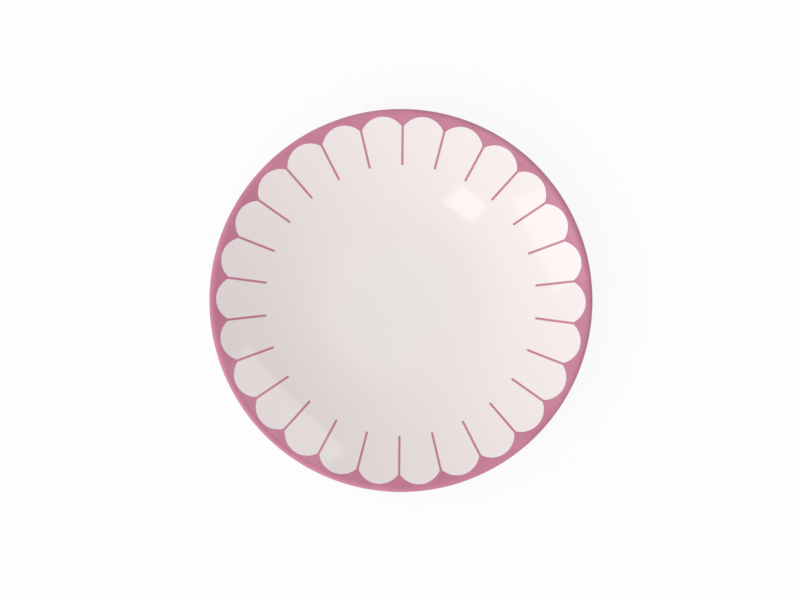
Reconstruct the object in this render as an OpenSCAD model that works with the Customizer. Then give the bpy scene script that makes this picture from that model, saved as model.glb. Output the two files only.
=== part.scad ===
// Coupe dessert plate with a scalloped pink border.
// A fired porcelain body, the glaze that coats it, and the border's colour fired into that glaze.
// Millimetres. +Z is up, and the origin is on the plate's axis, at the table under the foot ring.

/* [Plate] */
// Diameter over the lip
plate_d = 210; // [190:1:240]
// Height from the table to the top of the lip
plate_h = 26; // [22:0.5:32]
// Diameter of the flat floor of the well
well_d = 76; // [60:1:90]
// Slope of the wall where it meets the lip, in degrees
lip_slope = 25; // [22:0.5:32]

/* [Walls] */
// Thickness of the floor of the well, glaze included
floor_t = 4.2; // [3.5:0.1:5.5]
// Thickness of the lip, which is a full round on its outer side, glaze included
lip_t = 3.5; // [2.6:0.1:4.2]
// Rounding of the lip's inner side, where the wall turns level
crest_r = 4.5; // [3:0.1:6]

/* [Foot ring] */
// Diameter of the foot ring, at the middle of its land
foot_d = 118; // [104:1:130]
// Width of the foot ring between its two sides, at the table
foot_w = 5; // [4:0.1:7]
// Depth of the recess inside the foot ring
recess_h = 3; // [2.5:0.1:4]
// Lean of the foot ring's two sides from upright, in degrees
foot_draft = 12; // [5:1:20]
// Rounding of the two edges of the land
foot_edge_r = 0.7; // [0.3:0.1:1]
// Fillet between the foot ring and the plate
foot_fillet_r = 1.2; // [0.6:0.1:1.4]

/* [Glaze] */
// Thickness of the glaze
glaze_t = 0.3; // [0.2:0.05:0.5]
// Height at which the glaze stops, above the bare land
bare_h = 1.2; // [0.8:0.1:1.4]

/* [Border] */
// Number of petals in the border
petals = 26; // [22:1:32]
// Radius of a petal's round tip, in plan
petal_r = 12.6; // [12:0.1:15]
// Gap between a petal's tip and the edge of the plate, in plan
tip_gap = 3.9; // [3:0.1:8]
// Width of the line between two petals
line_w = 1.3; // [0.6:0.05:2]
// Diameter of the circle on which the lines' inner ends lie
line_end_d = 149; // [130:1:165]
// Turn of the border about the plate's axis, in degrees
border_turn = -0.6; // [-7:0.1:7]
// Where the border's colour stops on the lip, in degrees above its outermost line
border_stop = 30; // [0:1:45]

/* [Hidden] */
// Largest distance between a profile's true curve and its chords
chord_error = 0.01;
// How far the border's upright cutters run past the plate
overrun = 1;
// Halvings of the search for the place where the foot ring's fillet touches the underside
halvings = 40;
$fn = 96;

porcelain_white = [0.86, 0.84, 0.81];
glaze_white = [0.93, 0.91, 0.90];
border_pink = [0.77, 0.50, 0.60];

// Points of the profile lie in the half plane [distance from the axis, height].
// An angle in it is that of a surface's outward normal: 90 is up and 0 is away from the axis.
// A coat of 0 gives the surface of the bare body, and a coat of glaze_t that of the finished plate.

// The face: a parabola from the edge of the well's floor, where it is level, to the lip.
// The lip's two rounds meet at its top.
// The wall is as thick at the lip as the outer round needs to run on into the underside.
lip_r = lip_t / 2;
well_z = recess_h + floor_t;
lip_c = [plate_d / 2 - lip_r, plate_h - lip_r];
crest_c = [lip_c[0], plate_h - crest_r];
rim_t = lip_r * (1 + cos(lip_slope)) + crest_r * (1 - cos(lip_slope));
face_start = [well_d / 2, well_z];
face_end = crest_c + crest_r * [-sin(lip_slope), cos(lip_slope)];
face_knee = [face_end[0] - (face_end[1] - well_z) / tan(lip_slope), well_z];
face_steps = ceil(sqrt(norm(face_start - 2 * face_knee + face_end) / (4 * chord_error)));

// The foot ring of the bare body: where its sides meet the table, and the centres of its roundings.
foot_out = foot_d / 2 + foot_w / 2;
foot_in = foot_d / 2 - foot_w / 2;
edge_step = foot_edge_r * (1 - sin(foot_draft)) / cos(foot_draft);
recess_z = recess_h + glaze_t;
fillet_r = foot_fillet_r + glaze_t;
recess_fillet_z = recess_z - fillet_r;
recess_fillet_x = foot_in - (fillet_r + recess_fillet_z * sin(foot_draft)) / cos(foot_draft);
root = fillet_touch(0, 1, halvings);
root_fillet_c = below(root, thickness_at(root) + foot_fillet_r);

// The profile's arcs: centre, radius on the body, 1 for a round or -1 for a hollow, first and last angle.
crest_arc = [crest_c, crest_r - glaze_t, 1, 90 + lip_slope, 90];
lip_face_arc = [lip_c, lip_r - glaze_t, 1, 90, border_stop];
lip_back_arc = [lip_c, lip_r - glaze_t, 1, border_stop, lip_slope - 90];
root_fillet = [root_fillet_c, fillet_r, -1, slope_at(root) - 90, -foot_draft];
outer_edge = [[foot_out - edge_step, foot_edge_r], foot_edge_r, 1, -foot_draft, -90];
inner_edge = [[foot_in + edge_step, foot_edge_r], foot_edge_r, 1, -90, foot_draft - 180];
recess_fillet = [[recess_fillet_x, recess_fillet_z], fillet_r, -1, foot_draft - 180, -90];

// The border in plan: the centre of a petal's round tip, and the turn from one petal to the next.
petal_x = plate_d / 2 - tip_gap - petal_r;
petal_pitch = 360 / petals;

// Place on the finished face, from 0 at the well's edge to 1 at the lip.
function face_at(u) = (1 - u) * (1 - u) * face_start + 2 * u * (1 - u) * face_knee + u * u * face_end;

// Direction of the face there, outwards along the profile.
function face_way(u) = (1 - u) * (face_knee - face_start) + u * (face_end - face_knee);

// Slope of the face there, in degrees from level.
function slope_at(u) = atan2(face_way(u)[1], face_way(u)[0]);

// Thickness of the finished plate there, square to the face.
function thickness_at(u) = rim_t + (floor_t - rim_t) * (1 - u) * (1 - u);

// Point at some depth below the face there, square to it.
function below(u, depth) = face_at(u) + depth * [sin(slope_at(u)), -cos(slope_at(u))];

// How far the fillet that touches the underside at u would stand off the foot ring's outer side.
function side_gap(u) =
    (below(u, thickness_at(u) + foot_fillet_r) - [foot_out, 0]) * [cos(foot_draft), -sin(foot_draft)]
    - fillet_r;

// The place between low and high where that fillet also touches the foot ring, by halving.
function fillet_touch(low, high, rounds) =
    let (middle = (low + high) / 2)
    rounds == 0 ? middle
    : side_gap(middle) > 0 ? fillet_touch(low, middle, rounds - 1)
    : fillet_touch(middle, high, rounds - 1);

// Points along an arc, close enough together to keep within the chord error.
function arc_points(arc, coat) =
    let (turn = arc[4] - arc[3])
    let (count = ceil(abs(turn) / (2 * acos(1 - chord_error / arc[1]))))
    [for (i = [0 : count]) arc_point(arc, arc[3] + turn * i / count, coat)];

function arc_point(arc, angle, coat) = arc[0] + (arc[2] * arc[1] + coat) * [cos(angle), sin(angle)];

// Where the glaze stops on a side of the foot ring: side is 1 for the outer one and -1 for the inner.
function glaze_edge(foot, side, coat) =
    [foot + side * (bare_h * tan(foot_draft) + coat * cos(foot_draft)), bare_h - coat * sin(foot_draft)];

// The face, from the axis to the place on the lip where the border stops.
function face_line(coat) = concat(
    [[0, well_z - glaze_t + coat]],
    [for (i = [0 : face_steps - 1]) below(i / face_steps, glaze_t - coat)],
    arc_points(crest_arc, coat),
    all_but_first(arc_points(lip_face_arc, coat)));

// The underside, from there to the edge of the glaze on the foot ring.
function back_line(coat) = concat(
    arc_points(lip_back_arc, coat),
    [for (i = [0 : face_steps - 1])
        let (u = 1 - (1 - root) * i / face_steps)
        below(u, thickness_at(u) - glaze_t + coat)],
    arc_points(root_fillet, coat),
    [glaze_edge(foot_out, 1, coat)]);

// The recess, from the edge of the glaze on the foot ring to the axis.
function recess_line(coat) = concat(
    [glaze_edge(foot_in, -1, coat)],
    arc_points(recess_fillet, coat),
    [[0, recess_z - coat]]);

function all_but_first(list) = [for (i = [1 : len(list) - 1]) list[i]];

function reversed(list) = [for (i = [len(list) - 1 : -1 : 0]) list[i]];

// The ring of glaze between two lines of the profile.
module glaze_between(body_line, glazed_line)
    rotate_extrude() polygon(concat(body_line, reversed(glazed_line)));

module face_coat() glaze_between(face_line(0), face_line(glaze_t));

// Plan of everything inside the border's scalloped edge.
module petal_plan() {
    circle(r = petal_x);
    for (i = [0 : petals - 1])
        rotate(border_turn + i * petal_pitch) translate([petal_x, 0]) circle(r = petal_r);
}

// Plan of the lines between the petals, round at their inner ends and run out past the scalloped edge.
module line_plan() {
    for (i = [0 : petals - 1])
        rotate(border_turn + (i + 1 / 2) * petal_pitch) translate([line_end_d / 2 + line_w / 2, 0]) {
            circle(d = line_w);
            translate([0, -line_w / 2]) square([petal_x + petal_r - line_end_d / 2, line_w]);
        }
}

// An upright cutter of the given plan, through the whole plate.
module cutter() translate([0, 0, -overrun]) linear_extrude(plate_h + 2 * overrun) children();

// The fired body: floor, wall, lip and foot ring in one piece, with the land of the foot ring bare.
module porcelain_body() color(porcelain_white)
    rotate_extrude() polygon(concat(
        face_line(0),
        all_but_first(back_line(0)),
        arc_points(outer_edge, 0),
        arc_points(inner_edge, 0),
        recess_line(0)));

// White glaze on the well and the petals.
module face_glaze() color(glaze_white)
    difference() {
        intersection() {
            face_coat();
            cutter() petal_plan();
        }
        cutter() line_plan();
    }

// Pink band over the lip, scalloped along its inner edge.
module scallop_band() color(border_pink)
    difference() {
        face_coat();
        cutter() petal_plan();
    }

// Pink lines between the petals, each running in from a cusp of the band.
module petal_lines() color(border_pink)
    intersection() {
        face_coat();
        cutter() intersection() {
            line_plan();
            petal_plan();
        }
    }

// White glaze on the underside, from the lip to the foot ring.
module back_glaze() color(glaze_white) glaze_between(back_line(0), back_line(glaze_t));

// White glaze in the recess inside the foot ring.
module recess_glaze() color(glaze_white) glaze_between(recess_line(0), recess_line(glaze_t));

porcelain_body();
face_glaze();
scallop_band();
petal_lines();
back_glaze();
recess_glaze();
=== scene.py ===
"""Coupe dessert plate in glazed porcelain with a scalloped pink border, seen from above."""
import math

import bmesh
import bpy
import numpy as np
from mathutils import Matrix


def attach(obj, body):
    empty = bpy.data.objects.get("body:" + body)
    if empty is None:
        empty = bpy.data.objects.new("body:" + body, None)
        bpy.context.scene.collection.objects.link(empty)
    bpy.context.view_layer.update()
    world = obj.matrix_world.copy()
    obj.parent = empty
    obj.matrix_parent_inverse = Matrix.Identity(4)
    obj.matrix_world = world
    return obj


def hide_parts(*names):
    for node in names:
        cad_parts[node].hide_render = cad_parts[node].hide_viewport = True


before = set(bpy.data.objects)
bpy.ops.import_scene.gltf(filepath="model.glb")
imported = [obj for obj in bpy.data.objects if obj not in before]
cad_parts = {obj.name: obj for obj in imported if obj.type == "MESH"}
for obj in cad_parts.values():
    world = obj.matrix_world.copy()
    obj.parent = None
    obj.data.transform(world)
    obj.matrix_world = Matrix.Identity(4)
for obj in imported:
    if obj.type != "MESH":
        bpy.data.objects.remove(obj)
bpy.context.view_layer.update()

# Sizes of the plate as the part has them, in metres, with its angles in degrees
PLATE_R = 0.105
PLATE_H = 0.026
WELL_R = 0.038  # the well's flat floor
LIP_SLOPE = math.radians(25)  # the wall's slope where it meets the lip
FLOOR_T = 0.0042
LIP_T = 0.0035
CREST_R = 0.0045  # the lip's inner turn, from the wall to the top
FOOT_R = 0.059  # the middle of the foot ring
FOOT_W = 0.005
RECESS_H = 0.003
FOOT_DRAFT = math.radians(12)  # the lean of the foot ring's sides
FOOT_EDGE_R = 0.0007
FOOT_FILLET_R = 0.0012
GLAZE_T = 0.0003
BARE_H = 0.0012  # how high the foot ring stays bare
PETALS = 26
PETAL_R = 0.0126  # a petal's round tip
TIP_GAP = 0.0039  # from the tips to the rim
LINE_W = 0.0013
LINE_END_R = 0.0745  # from the axis to the lines' inner ends
BORDER_TURN = math.radians(-0.6)  # the first petal's middle
BORDER_STOP = math.radians(30)  # where the pink stops on the lip's outer arc, up from level

# The shallow dish that firing leaves in the well, where the part's floor is flat
DISH_DEPTH = 0.0012
DISH_R = 0.054

# How finely the pieces are divided
PETAL_COLUMNS = 20
LINE_COLUMNS = 4
WELL_ROWS = 10
WALL_ROWS = 34
LINE_END_ROWS = 6
PETAL_ROWS = 22
BAND_ROWS = 6
CREST_ROWS = 6
LIP_ROWS = 10
UNDER_ROWS = 30
FILLET_ROWS = 8
EDGE_ROWS = 6

# How far a petal's columns crowd towards the lines: near 0 they lie evenly, at 1 as the full sine
COLUMN_CROWD = 0.8

# Rounds of the search for the scalloped edge, and halvings of the search for the foot's fillet
EDGE_ROUNDS = 12
HALVINGS = 50

# Points closer than this are one point, and edges that turn by more than this stay sharp
WELD = 1e-8
SHARP = math.radians(35)

# The photograph's frame, and the plate's middle and radius in it, in pixels
FRAME_PX = (800, 600)
PLATE_PX = (400.9, 300.5)
PLATE_R_PX = 191.8

# Colours of the face in sRGB, which the studio's light brings to the photograph's own
WHITE = (231, 225, 222)
# Painted light: towards the rim the white takes a pink tint that stands for light bounced onto it
# from the band
WHITE_PAINTED_BOUNCE = (233, 224, 223)
PINK = (199, 126, 152)
PINK_DEEP = (191, 117, 144)
LINE_PINK = (198, 127, 148)
LINE_DEEP = (193, 120, 142)

# Colours of the underside, which the photograph doesn't show: pooled glaze and the bare land
WHITE_POOL = (226, 224, 221)
BARE = (214, 206, 194)
BARE_GRAIN = (200, 190, 176)
BARE_RUBBED = (176, 169, 160)

# Worked out from the sizes, in the half plane of distance from the axis and height
LIP_R = LIP_T / 2
WELL_Z = RECESS_H + FLOOR_T
LIP_C = np.array([PLATE_R - LIP_R, PLATE_H - LIP_R])
CREST_C = np.array([LIP_C[0], PLATE_H - CREST_R])
RIM_T = LIP_R * (1 + math.cos(LIP_SLOPE)) + CREST_R * (1 - math.cos(LIP_SLOPE))
FACE_START = np.array([WELL_R, WELL_Z])
FACE_END = CREST_C + CREST_R * np.array([-math.sin(LIP_SLOPE), math.cos(LIP_SLOPE)])
FACE_KNEE = np.array([FACE_END[0] - (FACE_END[1] - WELL_Z) / math.tan(LIP_SLOPE), WELL_Z])
FOOT_OUT = FOOT_R + FOOT_W / 2
FOOT_IN = FOOT_R - FOOT_W / 2

# Worked out from the sizes, in plan
PETAL_X = PLATE_R - TIP_GAP - PETAL_R
PITCH = 2 * math.pi / PETALS
PETAL_TURNS = BORDER_TURN + PITCH * np.arange(PETALS)


# The profile

def face_at(u):
    """Profile of the face: a parabola, level at the well's edge (u = 0), up to the lip (u = 1)."""
    u = np.asarray(u, float)[..., None]
    return (1 - u) ** 2 * FACE_START + 2 * u * (1 - u) * FACE_KNEE + u ** 2 * FACE_END


def face_slope(u):
    """Angle of that parabola from level: the angle of its derivative by u."""
    u = np.asarray(u, float)[..., None]
    way = (1 - u) * (FACE_KNEE - FACE_START) + u * (FACE_END - FACE_KNEE)
    return np.arctan2(way[..., 1], way[..., 0])


def below_face(u, depth):
    """Profile point at a depth under the face, along the face's normal."""
    slope = face_slope(u)
    down = np.stack([np.sin(slope), -np.cos(slope)], axis=-1)
    return face_at(u) + np.asarray(depth, float)[..., None] * down


def face_u(distance):
    """The u of the face at a distance from the axis: the root of the parabola's quadratic."""
    square = FACE_START[0] - 2 * FACE_KNEE[0] + FACE_END[0]
    line = 2 * (FACE_KNEE[0] - FACE_START[0])
    rest = np.maximum(distance - FACE_START[0], 0)
    return (np.sqrt(line ** 2 + 4 * square * rest) - line) / (2 * square)


def thickness(u):
    """Thickness of the plate, square to the face: the rim's, plus what the floor has more than the
    rim times the square of 1 - u."""
    return RIM_T + (FLOOR_T - RIM_T) * (1 - np.asarray(u)) ** 2


def arc(centre, radius, first, last, rows):
    """Profile points of a circle's arc between two angles: the centre plus the radius times the
    angle's cosine and sine. A negative radius gives the far side of the circle."""
    angle = np.linspace(first, last, rows + 1)
    return np.asarray(centre) + radius * np.stack([np.cos(angle), np.sin(angle)], axis=-1)


def dish(distance):
    """How far the fired face lies above the flat well: minus the dish's depth on the axis, dying
    away as the square of one less the square of the distance's share of the dish's radius."""
    share = np.clip(distance / DISH_R, 0, 1)
    return -DISH_DEPTH * (1 - share ** 2) ** 2


def face_profile(distance, coat):
    """Profile points of the face at distances from the axis, with coat 1 finished and 0 on the
    body: the flat well or the parabola, moved in along its normal by the glaze that is missing,
    and lowered by the dish."""
    u = face_u(distance)
    slope = face_slope(u)
    depth = GLAZE_T * (1 - coat)
    height = face_at(u)[..., 1] - depth * np.cos(slope) + dish(distance)
    return np.stack([distance + depth * np.sin(slope), height], axis=-1)


def lip_profile(coat):
    """The lip to the border's stop: a wide arc from the face to the top, then a tighter one."""
    inset = GLAZE_T * (1 - coat)
    crest = arc(CREST_C, CREST_R - inset, math.pi / 2 + LIP_SLOPE, math.pi / 2, CREST_ROWS)
    outer = arc(LIP_C, LIP_R - inset, math.pi / 2, BORDER_STOP, LIP_ROWS)
    return np.concatenate([crest, outer[1:]])


def fillet_touch():
    """The u at which a fillet touches the underside and the foot ring's side, found by halving."""
    low, high = 0.0, 1.0
    side = np.array([math.cos(FOOT_DRAFT), -math.sin(FOOT_DRAFT)])
    for _ in range(HALVINGS):
        middle = (low + high) / 2
        centre = below_face(middle, thickness(middle) + FOOT_FILLET_R)
        stands_off = (centre - np.array([FOOT_OUT, 0])) @ side - (FOOT_FILLET_R + GLAZE_T)
        low, high = (low, middle) if stands_off > 0 else (middle, high)
    return (low + high) / 2


ROOT = fillet_touch()


def glaze_stop(foot, side, coat):
    """Where the glaze stops on the foot ring's outer (1) or inner (-1) side: up that leaning side
    to the bare height, and with coat 1 off it, square to it, by the glaze's thickness."""
    lift = GLAZE_T * coat
    out = foot + side * (BARE_H * math.tan(FOOT_DRAFT) + lift * math.cos(FOOT_DRAFT))
    return np.array([[out, BARE_H - lift * math.sin(FOOT_DRAFT)]])


def back_profile(coat):
    """Underside: the lip's arc from the border's stop, the face moved down by the thickness along
    its normal, the foot's fillet, and the foot ring's outer side as far as the glaze goes."""
    inset = GLAZE_T * (1 - coat)
    lip = arc(LIP_C, LIP_R - inset, BORDER_STOP, LIP_SLOPE - math.pi / 2, LIP_ROWS)
    u = np.linspace(1, ROOT, UNDER_ROWS + 1)[:-1]
    under = below_face(u, thickness(u) - inset)
    centre = below_face(ROOT, thickness(ROOT) + FOOT_FILLET_R)
    radius = FOOT_FILLET_R + inset
    fillet = arc(centre, -radius, face_slope(ROOT) - math.pi / 2, -FOOT_DRAFT, FILLET_ROWS)
    return np.concatenate([lip, under, fillet, glaze_stop(FOOT_OUT, 1, coat)])


def recess_profile(coat):
    """Recess inside the foot ring: up its inner side, round the fillet's arc, level to the axis."""
    radius = FOOT_FILLET_R + GLAZE_T * (1 - coat)
    height = RECESS_H - FOOT_FILLET_R
    reach = (FOOT_FILLET_R + GLAZE_T + height * math.sin(FOOT_DRAFT)) / math.cos(FOOT_DRAFT)
    centre = (FOOT_IN - reach, height)
    fillet = arc(centre, -radius, FOOT_DRAFT - math.pi, -math.pi / 2, FILLET_ROWS)
    ceiling = np.linspace(fillet[-1], (0, fillet[-1][1]), WELL_ROWS + 1)[1:]
    return np.concatenate([glaze_stop(FOOT_IN, -1, coat), fillet, ceiling])


# The border in plan

def petal_edge(turn):
    """Distance from the axis of the petals' round tips at each turn: where a ray from the axis
    leaves the petal's circle."""
    from_axis = (turn - BORDER_TURN + PITCH / 2) % PITCH - PITCH / 2
    return PETAL_X * np.cos(from_axis) + np.sqrt(PETAL_R ** 2 - (PETAL_X * np.sin(from_axis)) ** 2)


def line_half_turn(distance):
    """Half the turn that a line takes up, seen from the axis: the angle whose sine is half the
    line's width, rounded off by a half circle at its inner end, over the distance."""
    run = np.clip((distance - LINE_END_R) / (LINE_W / 2), 0, 1)
    return np.arcsin(LINE_W / 2 * np.sqrt(1 - (1 - run) ** 2) / distance)


def petal_turn_at(distance):
    """Turn of each petal's columns at a distance from the axis: its middle's, plus shares of the
    half turn that the lines leave it. The shares follow a sine, which crowds them at the lines."""
    reach = COLUMN_CROWD * math.pi / 2
    share = np.sin(np.linspace(-reach, reach, PETAL_COLUMNS + 1)) / math.sin(reach)
    half = PITCH / 2 - line_half_turn(np.asarray(distance))
    return PETAL_TURNS[:, None] + share * half


def line_turn_at(distance):
    """Turn of each line's columns at a distance: its middle's, plus shares of its half turn."""
    share = np.linspace(-1, 1, LINE_COLUMNS + 1)
    return (PETAL_TURNS + PITCH / 2)[:, None] + share * line_half_turn(np.asarray(distance))


def border_grid(turn_at):
    """Distance and turn of the rows between the lines' inner ends and the scalloped edge, for
    columns whose turn at a distance is turn_at(distance). The first rows follow the round ends:
    half a line's width times one less the cosine of a quarter turn's angles. The others share out
    the rest of the way to the edge, which is found by setting the distance to the edge's at its
    own turn, a few times over."""
    end_angle = np.linspace(0, math.pi / 2, LINE_END_ROWS + 1)
    round_end = LINE_END_R + LINE_W / 2 * (1 - np.cos(end_angle))
    edge = petal_edge(turn_at(PETAL_X))
    for _ in range(EDGE_ROUNDS):
        edge = petal_edge(turn_at(edge))
    share = np.linspace(0, 1, PETAL_ROWS + 1)[1:]
    inner = round_end[:, None, None] * np.ones(edge.shape)
    outer = round_end[-1] + (edge - round_end[-1]) * share[:, None, None]
    distance = np.concatenate([inner, outer])
    return distance, turn_at(distance)


# The border's grids, which the white glaze, the lines and the band share along their edges
petal_distance, petal_turn = border_grid(petal_turn_at)
line_distance, line_turn = border_grid(line_turn_at)
edge_distance = np.concatenate([petal_distance[-1], line_distance[-1, :, 1:-1]], axis=1).ravel()
edge_turn = np.concatenate([petal_turn[-1], line_turn[-1, :, 1:-1]], axis=1).ravel()


# Surfaces

def on_face(distance, turn, coat):
    """Points of the face at distances from the axis and turns: x and y are the profile's distance
    times the turn's cosine and sine, and z is its height."""
    profile = face_profile(distance, coat)
    out = profile[..., 0]
    return np.stack([out * np.cos(turn), out * np.sin(turn), profile[..., 1]], axis=-1)


def revolve(profile):
    """Profile points carried round the axis to the turns of the scalloped edge: x and y are the
    distance times the turn's cosine and sine, and z is the height."""
    distance = profile[:, None, 0]
    height = np.broadcast_to(profile[:, None, 1], (len(profile), len(edge_turn)))
    return np.stack([distance * np.cos(edge_turn), distance * np.sin(edge_turn), height], axis=-1)


def numbered(points):
    """The number of each point of a grid, in the order in which the mesh holds them."""
    return np.arange(points[..., 0].size).reshape(points.shape[:-1])


def quads(grid, wrap):
    """Quads between neighbouring points of a grid of point numbers, row by row. From above they
    run anti-clockwise where rows go outwards and columns turn anti-clockwise."""
    if wrap:
        grid = np.concatenate([grid, grid[:, :1]], axis=1)
    corners = (grid[:-1, :-1], grid[1:, :-1], grid[1:, 1:], grid[:-1, 1:])
    return np.stack([corner.ravel() for corner in corners], axis=-1)


def coat_faces(outside, inside, wrap, walls):
    """Faces of a coat between two grids of point numbers: both sheets, and walls on named edges."""
    faces = [quads(outside, wrap), quads(inside, wrap)[:, ::-1]]
    edges = {
        "first": (outside[0], inside[0]),
        "last": (inside[-1], outside[-1]),
        "left": (inside[:, 0], outside[:, 0]),
        "right": (outside[:, -1], inside[:, -1]),
    }
    for name in walls:
        closed = wrap and name in ("first", "last")
        faces.append(quads(np.stack(edges[name])[::-1], closed))
    return np.concatenate(faces)


def white_face():
    """White glaze of the well and petals: for each petal a fan of columns from the axis out to its
    round tip. Neighbouring petals meet as far as the lines' inner ends, and part from there to
    leave the lines' width."""
    well = np.linspace(0, WELL_R, WELL_ROWS + 1)
    wall = np.linspace(WELL_R, LINE_END_R, WALL_ROWS + 1)[1:-1]
    inner = np.concatenate([well, wall])[:, None, None] * np.ones(petal_distance.shape[1:])
    distance = np.concatenate([inner, petal_distance])
    turn = np.concatenate([np.broadcast_to(petal_turn[0], inner.shape), petal_turn])
    points = np.stack([on_face(distance, turn, coat) for coat in (1, 0)])
    number = numbered(points)
    start = len(inner)
    sides = ("left", "right", "last")
    faces = []
    for i in range(PETALS):
        top, bottom = number[0, :, i], number[1, :, i]
        faces.append(coat_faces(top[:start + 1], bottom[:start + 1], wrap=False, walls=()))
        faces.append(coat_faces(top[start:], bottom[start:], wrap=False, walls=sides))
    return points, np.concatenate(faces)


def pink_lines():
    """Pink lines: for each a strip of columns between its edges, from its round end to the band."""
    points = np.stack([on_face(line_distance, line_turn, coat) for coat in (1, 0)])
    top, bottom = numbered(points)
    sides = ("first", "last", "left", "right")
    faces = [coat_faces(top[:, i], bottom[:, i], wrap=False, walls=sides) for i in range(PETALS)]
    return points, np.concatenate(faces)


def pink_band():
    """Pink band: columns from the scalloped edge out along the face, then round the lip's arcs."""
    share = np.linspace(0, 1, BAND_ROWS + 1)[:-1, None]
    distance = edge_distance + (FACE_END[0] - edge_distance) * share
    turn = np.broadcast_to(edge_turn, distance.shape)
    sheets = []
    for coat in (1, 0):
        lip = revolve(lip_profile(coat))
        sheets.append(np.concatenate([on_face(distance, turn, coat), lip]))
    points = np.stack(sheets)
    return points, coat_faces(*numbered(points), wrap=True, walls=("first", "last"))


def revolved_coat(profile):
    """A coat of glaze all round: its profiles, finished and on the body, carried round the axis."""
    points = np.stack([revolve(profile(coat)) for coat in (1, 0)])
    return points, coat_faces(*numbered(points), wrap=True, walls=("first", "last"))


def body():
    """The bare body: the face, lip, underside, foot ring and recess under their glaze, as one
    closed profile carried round the axis. The land's two edges are arcs that touch the table and
    the foot ring's sides."""
    step = FOOT_EDGE_R * (1 - math.sin(FOOT_DRAFT)) / math.cos(FOOT_DRAFT)
    outer_edge = (FOOT_OUT - step, FOOT_EDGE_R)
    inner_edge = (FOOT_IN + step, FOOT_EDGE_R)
    well = np.linspace(0, WELL_R, WELL_ROWS + 1)[:-1]
    wall = np.linspace(WELL_R, FACE_END[0], UNDER_ROWS + 1)[:-1]
    profile = np.concatenate([
        face_profile(np.concatenate([well, wall]), 0),
        lip_profile(0)[:-1],
        back_profile(0),
        arc(outer_edge, FOOT_EDGE_R, -FOOT_DRAFT, -math.pi / 2, EDGE_ROWS),
        arc(inner_edge, FOOT_EDGE_R, -math.pi / 2, FOOT_DRAFT - math.pi, EDGE_ROWS),
        recess_profile(0),
    ])
    points = revolve(profile)
    return points, quads(numbered(points), wrap=True)


# Materials, with scales in features to the metre, and depths and distances in metres

# What all the glazes share: a slow swell, and the drift of their gloss
SWELL_SCALE = 40
SWELL_DEPTH = 0.00004
GLOSS_SCALE = 160
GLAZE_IOR = 1.5

# The white glaze: clouds that move its change of tone, where that change lies, and orange peel
CLOUD_SCALE = 34
CLOUD_REACH = 0.03
# On the face the white changes over this stretch into the painted pink bounce light
FACE_CHANGE = (0.012, 0.060)
BACK_CHANGE = (0.062, 0.085)
RECESS_CHANGE = (0.040, 0.056)
WHITE_PEEL_SCALE = 420
WHITE_PEEL_DEPTH = 0.0000012
WHITE_ROUGH = (0.05, 0.09)

# The colour fired into the glaze: broad clouds, a fine mottle of pigment, and orange peel
TONE_SCALE = 60
TONE_SPAN = (0.35, 0.65)
MOTTLE_SCALE = 1500
MOTTLE_SPAN = (0.45, 0.75)
MOTTLE_MOST = 0.35
COLOUR_PEEL_SCALE = 900
COLOUR_PEEL_DEPTH = 0.000002
COLOUR_ROUGH = (0.08, 0.15)
COLOUR_SPECULAR = 0.4

# Painted shade on the pink at this turn of the rim, painted light across from it: shares of its
# colour
PAINTED_SHADE_TURN = math.radians(35)
PAINTED_SHADE_SHARES = (0.90, 0.93, 0.92, 1)
PAINTED_LIGHT_SHARES = (1.05, 1.04, 1.05, 1)

# The bare body: its grain, the grey that tables rub into its land, and the drift of its roughness
GRAIN_SCALE = 2600
GRAIN_DEPTH = 0.00002
RUBBED_SCALE = 220
RUBBED_SPAN = (0.52, 0.7)
RUBBED_MOST = 0.5
BARE_ROUGH_SCALE = 700
BARE_ROUGH = (0.6, 0.8)

# The stretch that holds most of a noise's values
NOISE_SPAN = (0.3, 0.7)

# The Mix node's colour sockets, which have the same names as its number sockets
MIX_COLOURS = (6, 7)
MIX_RESULT = 2


def linear(colour):
    """An sRGB colour of 0 to 255 as a shader's linear one, by the sRGB standard's formula."""
    level = np.asarray(colour) / 255
    curve = ((level + 0.055) / 1.055) ** 2.4
    return (*np.where(level <= 0.04045, level / 12.92, curve).tolist(), 1)


class Nodes:
    """A node tree, with short ways to add nodes and join them."""

    def __init__(self, tree):
        self.tree = tree

    def add(self, kind, **settings):
        """A new node of a kind, with its settings."""
        node = self.tree.nodes.new(kind)
        for key, value in settings.items():
            setattr(node, key, value)
        return node

    def join(self, output, socket):
        """Links an output to a socket."""
        self.tree.links.new(output, socket)


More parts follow.
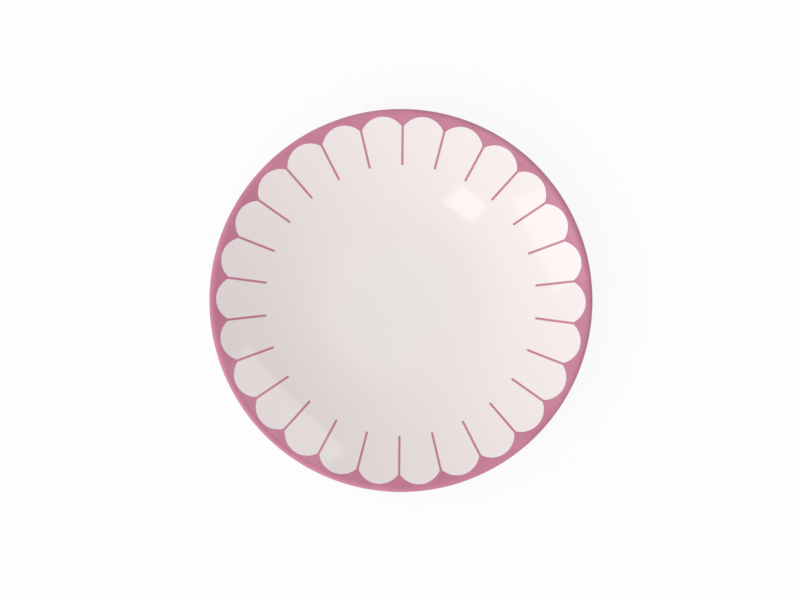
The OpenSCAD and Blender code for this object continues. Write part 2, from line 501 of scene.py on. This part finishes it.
class Finish(Nodes):
    """A piece's material, with patterns that lie on its Object coordinates."""

    def __init__(self, name):
        self.material = bpy.data.materials.new(name)
        self.material.use_nodes = True
        super().__init__(self.material.node_tree)
        self.surface = self.tree.nodes["Principled BSDF"]
        self.place = self.add("ShaderNodeTexCoord").outputs["Object"]

    def noise(self, scale, detail, roughness=0.5):
        """Noise with about scale features to the metre."""
        node = self.add("ShaderNodeTexNoise")
        node.inputs["Scale"].default_value = scale
        node.inputs["Detail"].default_value = detail
        node.inputs["Roughness"].default_value = roughness
        self.join(self.place, node.inputs["Vector"])
        return node.outputs["Fac"]

    def spread(self, value, span, onto=(0, 1)):
        """A value's stretch between the ends of span, spread onto another stretch."""
        node = self.add("ShaderNodeMapRange")
        ends = {"From Min": span[0], "From Max": span[1], "To Min": onto[0], "To Max": onto[1]}
        for name, number in ends.items():
            node.inputs[name].default_value = number
        self.join(value, node.inputs["Value"])
        return node.outputs["Result"]

    def mix(self, share, first, second):
        """A colour between first and second, each a colour or another node's output."""
        node = self.add("ShaderNodeMix", data_type="RGBA")
        self.join(share, node.inputs["Factor"])
        for socket, colour in zip(MIX_COLOURS, (first, second)):
            if isinstance(colour, tuple):
                node.inputs[socket].default_value = colour
            else:
                self.join(colour, node.inputs[socket])
        return node.outputs[MIX_RESULT]

    def times(self, first, second):
        """The product of two colours, channel by channel."""
        node = self.add("ShaderNodeVectorMath", operation="MULTIPLY")
        self.join(first, node.inputs[0])
        self.join(second, node.inputs[1])
        return node.outputs["Vector"]

    def bump(self, height, depth, under=None):
        """Raises the surface by height times depth, in metres, on top of another bump."""
        node = self.add("ShaderNodeBump")
        node.inputs["Strength"].default_value = 1.0
        node.inputs["Distance"].default_value = depth
        self.join(height, node.inputs["Height"])
        if under is not None:
            self.join(under, node.inputs["Normal"])
        return node.outputs["Normal"]

    def from_axis(self):
        """Distance from the plate's axis: the length of the place with its height left out."""
        flat = self.add("ShaderNodeVectorMath", operation="MULTIPLY")
        flat.inputs[1].default_value = (1, 1, 0)
        self.join(self.place, flat.inputs[0])
        length = self.add("ShaderNodeVectorMath", operation="LENGTH")
        self.join(flat.outputs["Vector"], length.inputs[0])
        return length.outputs["Value"]

    def towards(self, turn):
        """Distance from the plate's axis measured towards a turn, less than 0 on the other side."""
        node = self.add("ShaderNodeVectorMath", operation="DOT_PRODUCT")
        self.join(self.place, node.inputs[0])
        node.inputs[1].default_value = (math.cos(turn), math.sin(turn), 0)
        return node.outputs["Value"]

    def gloss(self, peel_scale, peel_depth, rough):
        """The gloss that all the glazes share: a slow swell under a fine orange peel, and a
        roughness that drifts between its two ends."""
        swell = self.bump(self.noise(SWELL_SCALE, detail=1), SWELL_DEPTH)
        peel = self.bump(self.noise(peel_scale, detail=2), peel_depth, under=swell)
        self.join(peel, self.surface.inputs["Normal"])
        drift = self.spread(self.noise(GLOSS_SCALE, detail=3), NOISE_SPAN, rough)
        self.join(drift, self.surface.inputs["Roughness"])
        self.surface.inputs["IOR"].default_value = GLAZE_IOR


def white_glaze(name, near, far, change):
    """White glaze: one tone near the axis and another far from it, changing over a stretch of
    distances that faint clouds move in and out."""
    finish = Finish(name)
    clouded = finish.add("ShaderNodeMath", operation="MULTIPLY_ADD")
    clouded.inputs[1].default_value = CLOUD_REACH
    finish.join(finish.noise(CLOUD_SCALE, detail=2), clouded.inputs[0])
    finish.join(finish.from_axis(), clouded.inputs[2])
    span = [distance + CLOUD_REACH / 2 for distance in change]
    tone = finish.mix(finish.spread(clouded.outputs[0], span), linear(near), linear(far))
    finish.join(tone, finish.surface.inputs["Base Color"])
    finish.gloss(WHITE_PEEL_SCALE, WHITE_PEEL_DEPTH, WHITE_ROUGH)
    return finish.material


def colour_glaze(name, colour, deep):
    """Colour fired into the glaze: broad clouds of two tones with a fine mottle of pigment, under
    painted shade towards one side of the plate and painted light on the other."""
    finish = Finish(name)
    clouds = finish.spread(finish.noise(TONE_SCALE, detail=4), TONE_SPAN)
    tone = finish.mix(clouds, linear(colour), linear(deep))
    pigment = finish.noise(MOTTLE_SCALE, detail=3, roughness=0.7)
    mottle = finish.spread(pigment, MOTTLE_SPAN, (0, MOTTLE_MOST))
    mottled = finish.mix(mottle, tone, linear(deep))
    # Painted shade on the rim's side at the turn, and painted light on the side across from it
    lean = finish.mix(finish.spread(finish.towards(PAINTED_SHADE_TURN), (-PLATE_R, PLATE_R)), PAINTED_LIGHT_SHARES, PAINTED_SHADE_SHARES)
    finish.join(finish.times(mottled, lean), finish.surface.inputs["Base Color"])
    finish.gloss(COLOUR_PEEL_SCALE, COLOUR_PEEL_DEPTH, COLOUR_ROUGH)
    finish.surface.inputs["Specular IOR Level"].default_value = COLOUR_SPECULAR
    return finish.material


def bare_porcelain(name):
    """Unglazed fired body: matt, with a fine grain and faint grey rubbing on the land."""
    finish = Finish(name)
    grain = finish.noise(GRAIN_SCALE, detail=4, roughness=0.7)
    clay = finish.mix(finish.spread(grain, NOISE_SPAN), linear(BARE), linear(BARE_GRAIN))
    wear = finish.noise(RUBBED_SCALE, detail=5, roughness=0.6)
    rubbed = finish.spread(wear, RUBBED_SPAN, (0, RUBBED_MOST))
    tone = finish.mix(rubbed, clay, linear(BARE_RUBBED))
    finish.join(tone, finish.surface.inputs["Base Color"])
    rough = finish.spread(finish.noise(BARE_ROUGH_SCALE, detail=3), NOISE_SPAN, BARE_ROUGH)
    finish.join(rough, finish.surface.inputs["Roughness"])
    finish.join(finish.bump(grain, GRAIN_DEPTH), finish.surface.inputs["Normal"])
    return finish.material


# Pieces

def new_object(name, data):
    """An object at the origin, in the scene."""
    made = bpy.data.objects.new(name, data)
    bpy.context.scene.collection.objects.link(made)
    return made


def make_piece(name, shape, material, nodes):
    """A mesh object of a shape's points and quads: welded where points meet, with its faces turned
    outwards, and smooth but for its sharp edges."""
    points, faces = shape
    mesh = bpy.data.meshes.new(name)
    mesh.from_pydata(points.reshape(-1, 3).tolist(), [], faces.tolist())
    work = bmesh.new()
    work.from_mesh(mesh)
    bmesh.ops.remove_doubles(work, verts=work.verts, dist=WELD)
    bmesh.ops.dissolve_degenerate(work, edges=work.edges, dist=WELD)
    bmesh.ops.recalc_face_normals(work, faces=work.faces)
    work.to_mesh(mesh)
    work.free()
    mesh.polygons.foreach_set("use_smooth", np.ones(len(mesh.polygons), dtype=bool))
    mesh.set_sharp_from_angle(angle=SHARP)
    mesh.materials.append(material)
    piece = new_object(name, mesh)
    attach(piece, "root")
    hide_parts(*nodes)


# The face's white turns to painted pink bounce light from the band towards the rim
face_white = white_glaze("white glaze", WHITE, WHITE_PAINTED_BOUNCE, FACE_CHANGE)
back_white = white_glaze("back glaze", WHITE_POOL, WHITE, BACK_CHANGE)
recess_white = white_glaze("recess glaze", WHITE, WHITE_POOL, RECESS_CHANGE)
band_pink = colour_glaze("pink glaze", PINK, PINK_DEEP)
line_pink = colour_glaze("pink line", LINE_PINK, LINE_DEEP)
bare_white = bare_porcelain("bare porcelain")
back = revolved_coat(back_profile)
recess = revolved_coat(recess_profile)

make_piece("white_face", white_face(), face_white, ["face_glaze"])
make_piece("pink_band", pink_band(), band_pink, ["scallop_band"])
make_piece("pink_lines", pink_lines(), line_pink, ["petal_lines"])
make_piece("white_back", back, back_white, ["back_glaze"])
make_piece("white_recess", recess, recess_white, ["recess_glaze"])
make_piece("body", body(), bare_white, ["porcelain_body"])


# The studio: a white floor, a soft surround, three panels and the camera

# Sizes in metres, and light with 1 as white
FLOOR_SIZE = 12.0
FLOOR_TONE = 0.9
FLOOR_ROUGHNESS = 0.9
FLOOR_GLOW = 1.0
FLOOR_GLOW_SHARE = 0.85
SURROUND_LEVEL = 0.934
SURROUND_LEAN = 0.735
SURROUND_AZIMUTH = math.radians(210)
HORIZON_LEVEL = 1.0
HORIZON_HEIGHT = 0.2  # the height of a unit direction at which the surround takes over
PANEL_DISTANCE = 1.52
CAMERA_HEIGHT = 1.5
SENSOR_WIDTH = 36  # in millimetres, as Blender's lenses are


def direction(elevation, azimuth):
    """Unit vector at an angle above the floor and an angle round the axis: the elevation's cosine
    times the azimuth's cosine and sine, and the elevation's sine."""
    out = math.cos(elevation)
    return np.array([out * math.cos(azimuth), out * math.sin(azimuth), math.sin(elevation)])


def seen_rays(nodes):
    """1 on the rays that the camera, gloss and glass send out, and 0 on the others."""
    path = nodes.add("ShaderNodeLightPath")
    seen = path.outputs["Is Camera Ray"]
    for name in ("Is Glossy Ray", "Is Transmission Ray"):
        either = nodes.add("ShaderNodeMath", operation="MAXIMUM")
        nodes.join(seen, either.inputs[0])
        nodes.join(path.outputs[name], either.inputs[1])
        seen = either.outputs[0]
    return seen


def make_floor():
    """A wide pale floor at the foot ring's land, with the plate's shadow and a glow where seen."""
    mesh = bpy.data.meshes.new("floor")
    half = FLOOR_SIZE / 2
    corners = [(-half, -half, 0), (half, -half, 0), (half, half, 0), (-half, half, 0)]
    mesh.from_pydata(corners, [], [(0, 1, 2, 3)])
    material = bpy.data.materials.new("floor")
    material.use_nodes = True
    nodes = Nodes(material.node_tree)
    surface = material.node_tree.nodes["Principled BSDF"]
    surface.inputs["Base Color"].default_value = (FLOOR_TONE, FLOOR_TONE, FLOOR_TONE, 1)
    surface.inputs["Roughness"].default_value = FLOOR_ROUGHNESS
    surface.inputs["Specular IOR Level"].default_value = 0.0
    glow = nodes.add("ShaderNodeEmission")
    glow.inputs["Strength"].default_value = FLOOR_GLOW
    share = nodes.add("ShaderNodeMath", operation="MULTIPLY")
    share.inputs[1].default_value = FLOOR_GLOW_SHARE
    nodes.join(seen_rays(nodes), share.inputs[0])
    both = nodes.add("ShaderNodeMixShader")
    nodes.join(share.outputs[0], both.inputs[0])
    nodes.join(surface.outputs[0], both.inputs[1])
    nodes.join(glow.outputs[0], both.inputs[2])
    nodes.join(both.outputs[0], material.node_tree.nodes["Material Output"].inputs["Surface"])
    mesh.materials.append(material)
    floor = new_object("floor", mesh)


def make_surround():
    """A soft white surround, brighter towards one side: a level plus a lean times the share of the
    direction that points there, blending to plain white at the horizon."""
    world = bpy.data.worlds.new("surround")
    bpy.context.scene.world = world
    world.use_nodes = True
    nodes = Nodes(world.node_tree)
    background = world.node_tree.nodes["Background"]
    background.inputs["Color"].default_value = (1, 1, 1, 1)
    place = nodes.add("ShaderNodeTexCoord").outputs["Generated"]
    along = nodes.add("ShaderNodeVectorMath", operation="DOT_PRODUCT")
    along.inputs[1].default_value = direction(0, SURROUND_AZIMUTH)
    nodes.join(place, along.inputs[0])
    lean = nodes.add("ShaderNodeMath", operation="MULTIPLY_ADD")
    lean.inputs[1].default_value = SURROUND_LEAN
    lean.inputs[2].default_value = SURROUND_LEVEL
    nodes.join(along.outputs["Value"], lean.inputs[0])
    height = nodes.add("ShaderNodeSeparateXYZ")
    nodes.join(place, height.inputs[0])
    above = nodes.add("ShaderNodeMapRange", interpolation_type="SMOOTHSTEP")
    above.inputs["From Max"].default_value = HORIZON_HEIGHT
    nodes.join(height.outputs["Z"], above.inputs["Value"])
    level = nodes.add("ShaderNodeMix")
    level.inputs["A"].default_value = HORIZON_LEVEL
    nodes.join(above.outputs["Result"], level.inputs["Factor"])
    nodes.join(lean.outputs[0], level.inputs["B"])
    nodes.join(level.outputs["Result"], background.inputs["Strength"])


def make_panel(name, zenith, azimuth, lean, turn, across, along, radiance):
    """A soft panel over the plate. The middle of its near edge lies at a zenith angle and an
    azimuth, and from there it runs outwards in the direction of turn, lower by the angle lean.
    Angles are in degrees. Its power is its radiance times pi times its area."""
    zenith, azimuth, lean, turn = (math.radians(angle) for angle in (zenith, azimuth, lean, turn))
    light = bpy.data.lights.new(name, "AREA")
    light.shape = "RECTANGLE"
    light.size = across
    light.size_y = along
    light.energy = radiance * math.pi * across * along
    panel = new_object(name, light)
    near = PANEL_DISTANCE * direction(math.pi / 2 - zenith, azimuth)
    panel.location = near + along / 2 * direction(-lean, turn)
    panel.rotation_euler = (lean, 0, turn + math.pi / 2)
    panel.visible_camera = False


def make_camera():
    """A long lens straight above the plate, with the photograph's top towards +Y. The plate's
    radius in pixels gives the focal length, and its middle in pixels the place."""
    data = bpy.data.cameras.new("camera")
    data.sensor_width = SENSOR_WIDTH
    data.lens = SENSOR_WIDTH * PLATE_R_PX / FRAME_PX[0] * (CAMERA_HEIGHT - LIP_C[1]) / PLATE_R
    camera = new_object("camera", data)
    pixel = PLATE_R / PLATE_R_PX
    aside = (FRAME_PX[0] / 2 - PLATE_PX[0]) * pixel
    along = (PLATE_PX[1] - FRAME_PX[1] / 2) * pixel
    camera.location = (aside, along, CAMERA_HEIGHT)
    bpy.context.scene.camera = camera


make_floor()
make_surround()
make_panel("small panel", zenith=21.4, azimuth=237, lean=26.5, turn=232,
           across=0.205, along=0.245, radiance=2.45)
make_panel("left panel", zenith=35, azimuth=202.4, lean=-17, turn=206,
           across=0.65, along=1.0, radiance=1.25)
make_panel("right panel", zenith=35.4, azimuth=43.2, lean=-17, turn=44,
           across=0.905, along=0.78, radiance=1.75)
make_camera()
bpy.context.scene.view_settings.view_transform = "Standard"
